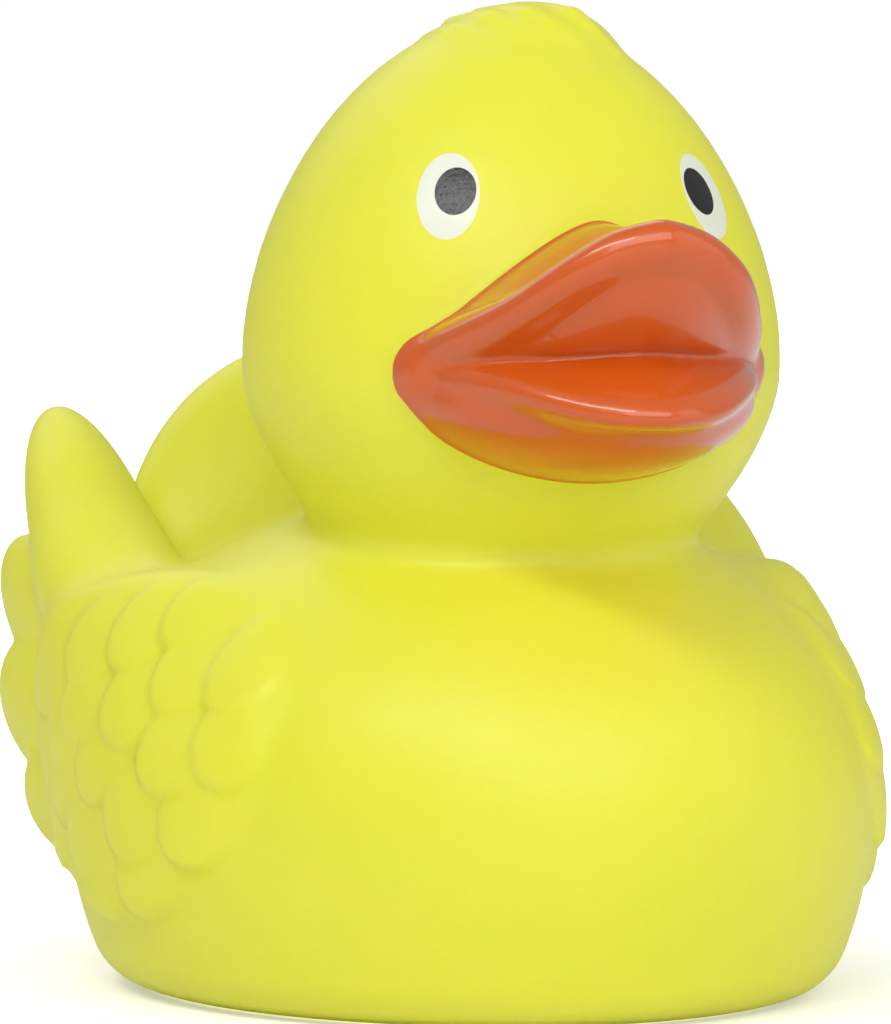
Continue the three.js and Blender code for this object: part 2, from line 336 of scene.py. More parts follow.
def bill(x, y, z):
    """Upper half, curled lower lip, chin and the round mouth corners."""
    forward = BILL["y"] - y
    slope = LIP["slope"] * np.maximum(1.0 - (x / LIP["level_at"]) ** 2, 0.0)
    curl = LIP["rise"] * (1.0 - np.exp(-((x / LIP["rise_at"]) ** LIP["rise_power"])))
    tilt = z + slope * (forward - LIP["front"] + LIP["sweep"] * x * x) - curl
    lip = lens(x, forward, tilt, (0, LIP["forward"], LIP["z"]), LIP["radii"], LIP["fullness"])
    chin = ellipsoid(x, forward, z - CHIN["rise"] * x * x, (0, CHIN["forward"], CHIN["z"]), CHIN["radii"])
    corner = (MOUTH_CORNER["x"], MOUTH_CORNER["forward"], MOUTH_CORNER["z"])
    corner = ellipsoid(x, forward, z, corner, MOUTH_CORNER["radii"])
    both = soft_union(upper_bill(x, forward, z), soft_union(lip, chin, FILLET["lip"]), FILLET["mouth"])
    return soft_union(both, corner, FILLET["mouth_corner"])


def tuft(x, y, z):
    """The mound on the crown with its locks."""
    crown = ellipsoid(x, y, z, CROWN["centre"], CROWN["radii"])
    for path, radii in LOCK_PATHS:
        crown = soft_union(crown, curved_strand(x, y, z, path, radii), FILLET["lock"])
    return crown


def plain_skin(x, y, z):
    """Everything but the bill."""
    side = np.abs(x)
    wing = soft_union(feather_field(side, y, z), top_feather(side, y, z), FILLET["top_feather"])
    wing = soft_union(wing, lower_feathers(side, y, z), FILLET["lower_feathers"])
    skin = soft_union(body(side, y, z), tail(side, y, z), FILLET["tail"])
    skin = soft_union(skin, wing, FILLET["wing"])
    skin = soft_union(skin, head(side, y, z), FILLET["head"])
    return soft_union(skin, tuft(x, y, z), FILLET["tuft"])


def outside(x, y, z):
    """Signed distance to the outside of the duck."""
    return soft_union(plain_skin(x, y, z), bill(np.abs(x), y, z), FILLET["bill"])


def air_inside(x, y, z, wall):
    """Signed distance to the air space: body, head and tail shrunk by the wall, less the boss."""
    side = np.abs(x)
    rooms = soft_union(body(side, y, z), tail(side, y, z), FILLET["tail"])
    rooms = soft_union(rooms, head(side, y, z), FILLET["head"]) + wall
    across = np.sqrt(x * x + (y - SEAT["y"]) ** 2) - SEAT["boss"]
    boss = np.maximum(across, z - SEAT["boss_height"])
    return soft_common(rooms, -boss, FILLET["boss"])


# ---------------------------------------------------------------- from a distance to a mesh


def surface_net(field, low, high, step):
    """Points and quads of the surface where field is zero, on a grid of the given step."""
    axes = [np.arange(a, b + step, step) for a, b in zip(low, high)]
    across, along = axes[0][:, None], axes[1][None, :]
    values = np.stack([field(across, along, np.full((1, 1), z)) for z in axes[2]], axis=2)
    shape = np.array(values.shape)
    total = np.zeros((*(shape - 1), 3))
    count = np.zeros(shape - 1)
    crossings = []
    for axis in range(3):
        first = np.take(values, range(shape[axis] - 1), axis)
        second = np.take(values, range(1, shape[axis]), axis)
        crossed = (first < 0) != (second < 0)
        at = np.argwhere(crossed)
        share = first[crossed] / (first[crossed] - second[crossed])
        point = at.astype(float)
        point[:, axis] += share
        cells = []
        for back in ((0, 0, 0), (0, 1, 0), (0, 1, 1), (0, 0, 1)):
            cell = tuple((at - np.roll(back, axis)).T)
            np.add.at(total, cell, point)
            np.add.at(count, cell, 1)
            cells.append(np.ravel_multi_index(cell, shape - 1))
        cells = np.stack(cells, axis=1)
        rising = second[crossed] > 0
        cells[~rising] = cells[~rising][:, ::-1]
        crossings.append(cells)
    quads = np.concatenate(crossings)
    used, quads = np.unique(quads, return_inverse=True)
    quads = quads.reshape(-1, 4)
    points = (total.reshape(-1, 3) / np.maximum(count.reshape(-1, 1), 1))[used]
    return points * step + np.array([a[0] for a in axes]), quads


def gradient(field, points, reach=0.03):
    """Slope of a field at points, by central differences."""
    slope = np.empty_like(points)
    for axis in range(3):
        step = np.zeros(3)
        step[axis] = reach
        slope[:, axis] = field(*(points + step).T) - field(*(points - step).T)
    return slope / (2 * reach)


def settle(field, points, rounds=3, least_square=0.05, longest=0.6):
    """Moves points onto the surface, and gives its normals there."""
    for _ in range(rounds):
        slope = gradient(field, points)
        square = np.maximum((slope**2).sum(1), least_square)
        move = np.clip(field(*points.T) / square, -longest, longest)
        points = points - slope * move[:, None]
    slope = gradient(field, points)
    return points, slope / np.linalg.norm(slope, axis=1, keepdims=True)


def edges_of(triangles):
    """Unique edges, and for each triangle the numbers of its three edges."""
    pairs = np.concatenate([triangles[:, (0, 1)], triangles[:, (1, 2)], triangles[:, (2, 0)]])
    pairs.sort(axis=1)
    edges, number = np.unique(pairs, axis=0, return_inverse=True)
    return edges, number.reshape(3, -1).T


def relax(points, normals, triangles, share=0.5):
    """Evens the spacing of points without leaving the surface."""
    edges, _ = edges_of(triangles)
    count = np.bincount(edges.ravel(), minlength=len(points))
    total = np.empty_like(points)
    for axis in range(3):
        total[:, axis] = np.bincount(edges[:, 0], points[edges[:, 1], axis], len(points))
        total[:, axis] += np.bincount(edges[:, 1], points[edges[:, 0], axis], len(points))
    shift = total / count[:, None] - points
    shift -= normals * (shift * normals).sum(1, keepdims=True)
    return points + share * shift


def split(points, triangles, marked, edges, number):
    """Halves the marked edges and every triangle that they bound."""
    middle = np.full(len(edges), -1)
    middle[marked] = len(points) + np.arange(marked.sum())
    points = np.concatenate([points, points[edges[marked]].mean(axis=1)])
    mids = middle[number]
    cut = mids >= 0
    kept = [triangles[cut.sum(1) == 0]]
    for turn in range(3):
        a, b, c = (np.roll(triangles, -turn, axis=1)).T
        ab, bc, ca = (np.roll(mids, -turn, axis=1)).T
        one = (ab >= 0) & (bc < 0) & (ca < 0)
        kept += [np.stack([a, ab, c], 1)[one], np.stack([ab, b, c], 1)[one]]
        two = (ab >= 0) & (bc >= 0) & (ca < 0)
        kept += [np.stack([ab, b, bc], 1)[two]]
        first = np.linalg.norm(points[a] - points[bc], axis=1)
        second = np.linalg.norm(points[c] - points[ab], axis=1)
        short = first < second
        kept += [np.stack([a, ab, bc], 1)[two & short], np.stack([a, bc, c], 1)[two & short]]
        kept += [np.stack([a, ab, c], 1)[two & ~short], np.stack([ab, bc, c], 1)[two & ~short]]
    a, b, c = triangles.T
    ab, bc, ca = mids.T
    all_three = cut.sum(1) == 3
    for corner in ((a, ab, ca), (ab, b, bc), (ca, bc, c), (ab, bc, ca)):
        kept.append(np.stack(corner, 1)[all_three])
    return points, np.concatenate(kept)


def skin_mesh(step):
    """Outer surface of the duck: even where it is smooth and finer at creases and feathers."""
    low, high = np.array(CAD_BOX) / MM
    points, quads = surface_net(outside, low - 3.0, high + 3.0, step)
    triangles = np.concatenate([quads[:, (0, 1, 2)], quads[:, (0, 2, 3)]])
    points, normals = settle(outside, points)
    for _ in range(2):
        points, normals = settle(outside, relax(points, normals, triangles), 2)
    for _ in range(4):
        edges, number = edges_of(triangles)
        a, b = points[edges].transpose(1, 0, 2)
        length = np.linalg.norm(a - b, axis=1)
        bend = np.arccos(np.clip((normals[edges[:, 0]] * normals[edges[:, 1]]).sum(1), -1, 1))
        marked = (bend > math.radians(BEND)) & (length > DETAIL_EDGE)
        marked |= feather_share(0.5 * (a + b)) * (length > FEATHER_EDGE) > 0.1
        points, triangles = split(points, triangles, marked, edges, number)
        points, normals = settle(outside, points, 2)
        points, normals = settle(outside, relax(points, normals, triangles, 0.4), 2)
    return points, triangles


def feather_share(points):
    """How much of the short feathers' relief a point takes: 1 on the field, 0 off it."""
    x, y, z = np.abs(points[:, 0]), points[:, 1], points[:, 2]
    field = feather_field(x, y, z)
    others = np.minimum(long_feathers(x, y, z), head(x, y, z))
    lead = np.clip((others - field) / FADE["beside"], 0.0, 1.0)
    off_top = np.abs(hull(x, y, z) - stand_off(y, z))
    return lead * np.clip(1.0 - off_top / FADE["edge"], 0.0, 1.0)


def wing_place(points):
    """Places on the wing: millimetres back along the body's girth, height, and zero."""
    x, y = np.abs(points[:, 0]) / BODY["half_width"], (points[:, 1] - BODY["y"]) / BODY["half_length"]
    back = np.arctan2(y, np.maximum(x, 1e-3)) * WING_GIRTH
    return np.stack([back, points[:, 2], np.zeros(len(points))], axis=1)


def link(name, data):
    """A new object in the scene for a mesh, a light or a camera."""
    one = bpy.data.objects.new(name, data)
    bpy.context.scene.collection.objects.link(one)
    return one


def new_mesh(name, points, faces):
    """An object in metres from points in millimetres."""
    mesh = bpy.data.meshes.new(name)
    mesh.from_pydata((np.asarray(points) * MM).tolist(), [], faces)
    mesh.validate()
    mesh.update()
    return link(name, mesh)


def write_attribute(mesh, name, values):
    """Stores one number or one vector for each vertex."""
    kind, slot = ("FLOAT", "value") if values.ndim == 1 else ("FLOAT_VECTOR", "vector")
    mesh.attributes.new(name, kind, "POINT").data.foreach_set(slot, values.astype(np.float32).ravel())


def lathe(name, profile, centre_y, sides=96):
    """A closed turned solid about a vertical line; its (radius, height) pairs start and end on it."""
    turns = np.arange(sides) * 2 * math.pi / sides
    points = [(0, centre_y, profile[0][1])]
    for radius, height in profile[1:-1]:
        points += [(radius * math.cos(t), centre_y + radius * math.sin(t), height) for t in turns]
    points.append((0, centre_y, profile[-1][1]))
    faces = []
    for j in range(sides):
        k = (j + 1) % sides
        faces.append((0, 1 + k, 1 + j))
        for row in range(len(profile) - 3):
            start = 1 + row * sides
            faces.append((start + j, start + k, start + sides + k, start + sides + j))
        last = 1 + (len(profile) - 3) * sides
        faces.append((last + j, last + k, len(points) - 1))
    return new_mesh(name, points, faces)


def apply_modifiers(piece):
    """Puts the evaluated mesh in the place of the piece's own and drops the modifiers."""
    graph = bpy.context.evaluated_depsgraph_get()
    mesh = bpy.data.meshes.new_from_object(piece.evaluated_get(graph))
    piece.modifiers.clear()
    old = piece.data
    piece.data = mesh
    bpy.data.meshes.remove(old)
    mesh.name = piece.name


def cut_away(piece, cutter):
    """Takes the cutter out of the piece and removes the cutter."""
    tool = piece.modifiers.new("cut", "BOOLEAN")
    tool.operation = "DIFFERENCE"
    tool.solver = "MANIFOLD"
    tool.object = cutter
    apply_modifiers(piece)
    bpy.data.objects.remove(cutter)


# ---------------------------------------------------------------- node helpers


def new_material(name):
    material = bpy.data.materials.new(name)
    material.use_nodes = True
    return material, material.node_tree, material.node_tree.nodes["Principled BSDF"]


def feed(tree, socket, value):
    """Links a socket to an output, or sets it to a plain value."""
    if isinstance(value, bpy.types.NodeSocket):
        tree.links.new(value, socket)
    else:
        socket.default_value = value


def outlets(tree, kind, values=(), **settings):
    """The outputs of a new node, with its inputs fed by name or number."""
    node = tree.nodes.new(kind)
    for name, value in settings.items():
        setattr(node, name, value)
    for key, value in dict(values).items():
        feed(tree, node.inputs[key], value)
    return node.outputs


def maths(tree, operation, *values):
    """A Math node's result; it serves shader trees and geometry trees alike."""
    return outlets(tree, "ShaderNodeMath", enumerate(values), operation=operation)[0]


def parts_of(tree, vector):
    """The three parts of a vector."""
    return outlets(tree, "ShaderNodeSeparateXYZ", {0: vector})


def product(tree, first, *others):
    """First times each of the others."""
    for other in others:
        first = maths(tree, "MULTIPLY", first, other)
    return first


def hypotenuse(tree, a, b):
    return maths(tree, "SQRT", maths(tree, "ADD", product(tree, a, a), product(tree, b, b)))


def blend_colour(tree, share, first, second):
    values = {0: share, 6: first, 7: second}
    return outlets(tree, "ShaderNodeMix", values, data_type="RGBA")[2]


def blend_value(tree, share, first, second):
    return outlets(tree, "ShaderNodeMix", {0: share, 2: first, 3: second})[0]


def noise(tree, place, size, detail=2.0, roughness=0.5):
    """Even noise whose blobs are about `size` metres."""
    values = {"Vector": place, "Scale": 1.0 / size, "Detail": detail, "Roughness": roughness}
    return outlets(tree, "ShaderNodeTexNoise", values)["Fac"]


def step_between(tree, value, start, end):
    """0 at start, 1 at end, and smooth between; start may be above end."""
    values = {"Value": value, "From Min": start, "From Max": end}
    return outlets(tree, "ShaderNodeMapRange", values, interpolation_type="SMOOTHSTEP")[0]


# ---------------------------------------------------------------- settings

# Soft lamps: name, degrees from the front towards the camera's side, degrees up, metres away, width and
# height in metres, and power as a share of the main lamp's setting.
LAMPS = (
    ("key", 50, 48, 0.90, (0.60, 0.14), 0.75),
    ("front", 4, 31, 1.25, (1.30, 0.70), 2.3),
    ("far_side", -60, 20, 1.00, (0.50, 0.80), 0.30),
    ("back", 170, 42, 1.30, (1.20, 0.80), 0.9),
)

# Where the lamps point, in metres.
LAMP_AIM = (0.0, -0.005, 0.04)

# The floor, in millimetres: the lines that part it both ways, and its level just under the base.
FLOOR_LINES = (-6000, -50, 50, 6000)
FLOOR_LEVEL = -0.03


def colour_setting(name, description, default):
    return bpy.props.FloatVectorProperty(
        name=name, description=description, size=3, subtype="COLOR", default=default)


def length_setting(name, description, default):
    """A length whose default is given in millimetres."""
    return bpy.props.FloatProperty(name=name, description=description, default=default * MM, unit="LENGTH")


def angle_setting(name, description, default):
    """An angle whose default is given in degrees."""
    return bpy.props.FloatProperty(
        name=name, description=description, default=math.radians(default), subtype="ANGLE")


class DuckSkinSettings(bpy.types.PropertyGroup):
    """Moulded skin"""

    wall: length_setting("Wall", "Thickness of the vinyl", 2.0)
    step: length_setting("Mesh step", "Spacing of the first net over the skin", NET_STEP)
    colour: colour_setting("Vinyl", "Colour of the vinyl", (0.80, 0.795, 0.052))
    # Painted shade: a darker colour laid along the lines between the feathers, where shade falls.
    shadow: colour_setting("Painted shade in creases", "Painted shade in the lines between feathers", (0.74, 0.72, 0.010))


class DuckFeatherSettings(bpy.types.PropertyGroup):
    """Short feathers"""

    length: length_setting("Length", "Half length of a feather", 4.6)
    width: length_setting("Width", "Half width of a feather", 3.9)
    relief: length_setting("Relief", "Height of a feather's free end", 0.8)
    edge: length_setting("Edge", "Width of the step at a feather's edge", 0.8)
    slant: angle_setting("Slant", "Angle that the feathers point down from straight back", 40)


class DuckPaintSettings(bpy.types.PropertyGroup):
    """Paint on the bill and the eyes"""

    bill: colour_setting("Bill", "Colour of the bill's paint", (0.63, 0.095, 0.001))
    eye: colour_setting("Eye", "Colour round the pupil", (0.78, 0.81, 0.67))
    pupil: colour_setting("Pupil", "Colour of the pupil", (0.006, 0.006, 0.007))
    gloss: bpy.props.FloatProperty(
        name="Bill gloss", description="Roughness of the bill's gloss coat", default=0.06, min=0.0, max=1.0)


class DuckSqueakerSettings(bpy.types.PropertyGroup):
    """Press-in squeaker"""

    plastic: colour_setting("Plastic", "Colour of the housing", (0.80, 0.80, 0.76))
    reed: colour_setting("Reed", "Colour of the reed film", (0.70, 0.72, 0.70))


class DuckStageSettings(bpy.types.PropertyGroup):
    """Floor, light and camera"""

    floor: colour_setting("Floor", "Colour of the floor", (0.90, 0.90, 0.90))
    sky: bpy.props.FloatProperty(name="Room light", description="Strength of the even light", default=0.40)
    key: bpy.props.FloatProperty(
        name="Lamps", description="Power that the lamps take their shares of", default=3.0, unit="POWER")
    side: angle_setting("Camera side", "Angle of the camera off the duck's front", 20)
    tilt: angle_setting("Camera tilt", "Angle that the camera looks down", 2.6441)
    distance: length_setting("Camera distance", "From the camera to the duck's axis", 551)
    height: length_setting("Camera height", "Height of the camera", 64)
    shift: length_setting("Camera shift", "How far the camera stands to the left of the axis", 2.59)
    lens: bpy.props.FloatProperty(name="Lens", description="Focal length in millimetres", default=239.8)


# ---------------------------------------------------------------- materials


# Sizes of the noises on the skin, in metres: cloudy colour, grain of the mould, ink on the pupils and
# the unsteady edge of the sprayed bill.
MOTTLE, GRAIN, SPECKLE, SPRAY = 12 * MM, 0.22 * MM, 0.4 * MM, 0.8 * MM

# The sprayed edge, in millimetres outside the bill, between bare vinyl and full paint; the edges of
# the printed ovals as shares of their outlines; and how far behind the eye's centre printing stops.
SPRAY_EDGE = (0.12, 0.2)
SPRAY_WANDER = 0.06
EYE_EDGE = (1.015, 0.985)
PUPIL_EDGE = (1.02, 0.98)
PRINT_DEPTH = (-4 * MM, -3 * MM)

# The cloudy deeper shade of the vinyl, as shares of its colour, and the noise levels that it fades
# in between.
DEEPER = (0.97, 0.985, 0.8)
CLOUD = (0.3, 0.7)

# Roughness of each finish, and how much of it the grain or the speckle adds.
ROUGHNESS = dict(vinyl=0.36, grain=0.12, bill=0.33, eye=0.34, pupil=0.08, speckle=0.32,
                 housing=0.38, reed=0.2)

# Light that scatters in the skin: its share under paint and in bare vinyl, and its reach in metres.
SCATTER = dict(paint=0.08, vinyl=0.55, colours=(1.0, 0.85, 0.25), reach=1.8 * MM)

# Depth of the bumps in metres, and the strength of the grain on vinyl, under the bill's paint and on
# plastic.
BUMP = dict(grain=0.02 * MM, ink=0.03 * MM, vinyl=0.22, bill=0.03, plastic=0.3)


def eye_frame():
    """Centre of the eye on the head's surface, the way out from there, and its across and up ways."""
    low, high = 2 * -HEAD["half_length"], HEAD["y"]
    for _ in range(40):
        middle = 0.5 * (low + high)
        inside = head(*np.array((EYE["x"], middle, EYE["z"]))) < 0
        low, high = (low, middle) if inside else (middle, high)
    centre = np.array((EYE["x"], high, EYE["z"]))
    out = gradient(head, centre[None])[0]
    out /= np.linalg.norm(out)
    across = np.cross((0, 0, 1), out)
    across /= np.linalg.norm(across)
    up = np.cross(out, across)
    tilt = math.radians(EYE["tilt"])
    cosine, sine = math.cos(tilt), math.sin(tilt)
    return centre, out, cosine * across - sine * up, cosine * up + sine * across


def oval(tree, across, up, shape):
    """Where a point lies in an oval: 1 on its outline."""
    across = maths(tree, "SUBTRACT", across, shape["across"] * MM)
    up = maths(tree, "SUBTRACT", up, shape["up"] * MM)
    across = maths(tree, "DIVIDE", across, shape["half_width"] * MM)
    up = maths(tree, "DIVIDE", up, shape["half_height"] * MM)
    return hypotenuse(tree, across, up)


def printed_eye(tree, place):
    """Shares of eye and of pupil in each point's paint, the same on both sides."""
    x, y, z = parts_of(tree, place)
    side = maths(tree, "ABSOLUTE", x)
    mirrored = outlets(tree, "ShaderNodeCombineXYZ", {0: side, 1: y, 2: z})[0]
    centre, *ways = eye_frame()
    values = {0: mirrored, 1: tuple(centre * MM)}
    offset = outlets(tree, "ShaderNodeVectorMath", values, operation="SUBTRACT")[0]

    def along(way):
        values = {0: offset, 1: tuple(way)}
        return outlets(tree, "ShaderNodeVectorMath", values, operation="DOT_PRODUCT")["Value"]

    out, across, up = map(along, ways)
    front = step_between(tree, out, *PRINT_DEPTH)
    on_eye = product(tree, front, step_between(tree, oval(tree, across, up, EYE), *EYE_EDGE))
    on_pupil = product(tree, front, step_between(tree, oval(tree, across, up, PUPIL), *PUPIL_EDGE))
    return on_eye, on_pupil


def skin_material(skin, paint):
    """Vinyl with the bill and the eyes painted on it, and painted shade in the lines between feathers."""
    material, tree, shader = new_material("painted_vinyl")
    place = outlets(tree, "ShaderNodeTexCoord")["Object"]
    # Mask of the painted shade between feathers, stored on the skin by the short feathers.
    crease = outlets(tree, "ShaderNodeAttribute", attribute_name="crease")["Fac"]
    painted = outlets(tree, "ShaderNodeAttribute", attribute_name="bill_paint")["Fac"]

    mottle = noise(tree, place, MOTTLE, 3.0)
    grain = noise(tree, place, GRAIN, 2.0, 0.6)
    speckle = noise(tree, place, SPECKLE, 3.0, 0.7)
    deeper = [part * share for part, share in zip(skin.colour, DEEPER)]
    vinyl = blend_colour(tree, step_between(tree, mottle, *CLOUD), (*skin.colour, 1), (*deeper, 1))
    # Painted shade: the lines between feathers are darkened towards the crease colour.
    vinyl = blend_colour(tree, crease, vinyl, (*skin.shadow, 1))

    wander = product(tree, noise(tree, place, SPRAY), SPRAY_WANDER)
    on_bill = step_between(tree, maths(tree, "ADD", painted, wander), *SPRAY_EDGE)
    on_eye, on_pupil = printed_eye(tree, place)
    on_eye = product(tree, on_eye, maths(tree, "SUBTRACT", 1.0, on_bill))
    on_pupil = product(tree, on_pupil, on_eye)

    colour = blend_colour(tree, on_bill, vinyl, (*paint.bill, 1))
    colour = blend_colour(tree, on_eye, colour, (*paint.eye, 1))
    colour = blend_colour(tree, on_pupil, colour, (*paint.pupil, 1))
    feed(tree, shader.inputs["Base Color"], colour)

    rough = maths(tree, "ADD", ROUGHNESS["vinyl"], product(tree, grain, ROUGHNESS["grain"]))
    ink = maths(tree, "ADD", ROUGHNESS["pupil"], product(tree, speckle, ROUGHNESS["speckle"]))
    rough = blend_value(tree, on_bill, rough, ROUGHNESS["bill"])
    rough = blend_value(tree, on_eye, rough, ROUGHNESS["eye"])
    rough = blend_value(tree, on_pupil, rough, ink)
    feed(tree, shader.inputs["Roughness"], rough)
    feed(tree, shader.inputs["Coat Weight"], on_bill)
    shader.inputs["Coat Roughness"].default_value = paint.gloss
    shader.inputs["Coat IOR"].default_value = 1.4

    bare = maths(tree, "SUBTRACT", 1.0, maths(tree, "MAXIMUM", on_bill, on_eye))
    scatter = blend_value(tree, bare, SCATTER["paint"], SCATTER["vinyl"])
    feed(tree, shader.inputs["Subsurface Weight"], scatter)
    shader.inputs["Subsurface Radius"].default_value = SCATTER["colours"]
    shader.inputs["Subsurface Scale"].default_value = SCATTER["reach"]
    shader.inputs["IOR"].default_value = 1.48

    strength = blend_value(tree, on_bill, BUMP["vinyl"], BUMP["bill"])
    values = {"Height": grain, "Strength": strength, "Distance": BUMP["grain"]}
    grained = outlets(tree, "ShaderNodeBump", values)[0]
    values = {"Height": speckle, "Strength": on_pupil, "Distance": BUMP["ink"], "Normal": grained}
    feed(tree, shader.inputs["Normal"], outlets(tree, "ShaderNodeBump", values)[0])
    return material


def plastic_material(name, colour, roughness):
    """Plain moulded plastic with a faint flow mottle."""
    material, tree, shader = new_material(name)
    place = outlets(tree, "ShaderNodeTexCoord")["Object"]
    cloud = noise(tree, place, 4 * MM, 3.0)
    grain = noise(tree, place, 0.2 * MM)
    darker = tuple(0.9 * part for part in colour)
    feed(tree, shader.inputs["Base Color"], blend_colour(tree, cloud, (*darker, 1), (*colour, 1)))
    feed(tree, shader.inputs["Roughness"], maths(tree, "ADD", roughness, product(tree, grain, 0.1)))
    values = {"Height": grain, "Strength": BUMP["plastic"], "Distance": BUMP["grain"]}
    feed(tree, shader.inputs["Normal"], outlets(tree, "ShaderNodeBump", values)[0])
    return material


# The floor's own light: in view it rises from the first share at the duck to plain white at the far
# reach, in metres; towards other surfaces it is faint, except inside the outline of the base, which
# then shows from below.
FLOOR_GLOW = dict(near=0.35, far=1.0, reach=(0.02, 0.16))
FLOOR_BOUNCE = dict(open=0.04, under_base=0.5, edge=(0.96, 0.92), outline=0.85)


def floor_material(colour):
    """Matt white card that turns into plain white away from the duck, and is clear from below."""
    material, tree, shader = new_material("studio_floor")
    place = outlets(tree, "ShaderNodeTexCoord")["Object"]
    reach = outlets(tree, "ShaderNodeVectorMath", {0: place}, operation="LENGTH")["Value"]
    x, y, _ = parts_of(tree, place)
    shader.inputs["Base Color"].default_value = (*colour, 1)
    shader.inputs["Roughness"].default_value = 0.8
    shader.inputs["Emission Color"].default_value = (1, 1, 1, 1)
    glow = step_between(tree, reach, *FLOOR_GLOW["reach"])
    glow = blend_value(tree, glow, FLOOR_GLOW["near"], FLOOR_GLOW["far"])
    share = FLOOR_BOUNCE["outline"]
    base = dict(across=0.0, up=BODY["y"], half_width=share * BODY["half_width"],
                half_height=share * BODY["half_length"])
    bounce = step_between(tree, oval(tree, x, y, base), *FLOOR_BOUNCE["edge"])
    bounce = blend_value(tree, bounce, FLOOR_BOUNCE["open"], FLOOR_BOUNCE["under_base"])
    seen = outlets(tree, "ShaderNodeLightPath")["Is Camera Ray"]
    feed(tree, shader.inputs["Emission Strength"], blend_value(tree, seen, bounce, glow))
    from_below = outlets(tree, "ShaderNodeNewGeometry")["Backfacing"]
    feed(tree, shader.inputs["Alpha"], maths(tree, "SUBTRACT", 1.0, from_below))
    return material


# ---------------------------------------------------------------- short feathers

# One short feather, in half widths of a feather: where its rise begins and how high its far end comes,
# how far its dome falls towards the edge, the width of the painted shade line around it as a share of its
# edge, and where along the feather that line begins.
PLUME = dict(rise_from=-0.75, rise_to=1.1, dome=0.4, line=0.6, line_from=-0.3)


def feather_group():
    """An empty tree with the inputs of the short feathers."""
    tree = bpy.data.node_groups.new("short_feathers", "GeometryNodeTree")
    for name, kind in (("Geometry", "Geometry"), ("Centres", "Object"), ("Material", "Material")):
        tree.interface.new_socket(name, in_out="INPUT", socket_type="NodeSocket" + kind)
    for name in ("Length", "Width", "Relief", "Edge", "Slant"):
        socket = tree.interface.new_socket(name, in_out="INPUT", socket_type="NodeSocketFloat")
        socket.subtype = "ANGLE" if name == "Slant" else "DISTANCE"
    tree.interface.new_socket("Geometry", in_out="OUTPUT", socket_type="NodeSocketGeometry")
    return tree


def stored(tree, name, kind="FLOAT"):
    """What the points carry under a name."""
    return outlets(tree, "GeometryNodeInputNamedAttribute", {"Name": name}, data_type=kind)[0]


def store(tree, geometry, name, value=0.0):
    """The geometry with a value stored on its points."""
    values = {"Geometry": geometry, "Name": name, "Value": value}
    return outlets(tree, "GeometryNodeStoreNamedAttribute", values)[0]


def place_on_feather(tree, given, centre):
    """How far a point lies along one feather and how far it is from the feather's middle."""
    values = {0: stored(tree, "wing_place", "FLOAT_VECTOR"), 1: centre}
    offset = outlets(tree, "ShaderNodeVectorMath", values, operation="SUBTRACT")[0]
    values = {"Vector": offset, "Angle": given["Slant"]}
    turned = outlets(tree, "ShaderNodeVectorRotate", values, rotation_type="Z_AXIS")[0]
    along, across, _ = parts_of(tree, turned)
    along = product(tree, maths(tree, "DIVIDE", along, given["Length"]), given["Width"])
    return along, hypotenuse(tree, along, across)


def feather_shape(tree, given, centre):
    """One feather at each point: its slope, its plate, its height, and the painted shade line round its free
    end.
    """
    width, edge = given["Width"], given["Edge"]
    along, reach = place_on_feather(tree, given, centre)
    plate = step_between(tree, reach, width, maths(tree, "SUBTRACT", width, edge))
    values = {"Value": along, "From Min": product(tree, width, PLUME["rise_from"]), "From Max": width,
              "To Min": 0.0, "To Max": PLUME["rise_to"]}
    slope = outlets(tree, "ShaderNodeMapRange", values)[0]
    out = maths(tree, "DIVIDE", reach, width)
    dome = maths(tree, "SUBTRACT", 1.0, product(tree, out, out, PLUME["dome"]))
    height = product(tree, plate, dome, slope)
    beyond = maths(tree, "SUBTRACT", reach, width)
    line = maths(tree, "DIVIDE", beyond, product(tree, edge, PLUME["line"]))
    line = maths(tree, "EXPONENT", product(tree, line, line, -1.0))
    free_end = step_between(tree, along, product(tree, width, PLUME["line_from"]), width)
    return slope, plate, height, product(tree, line, free_end)


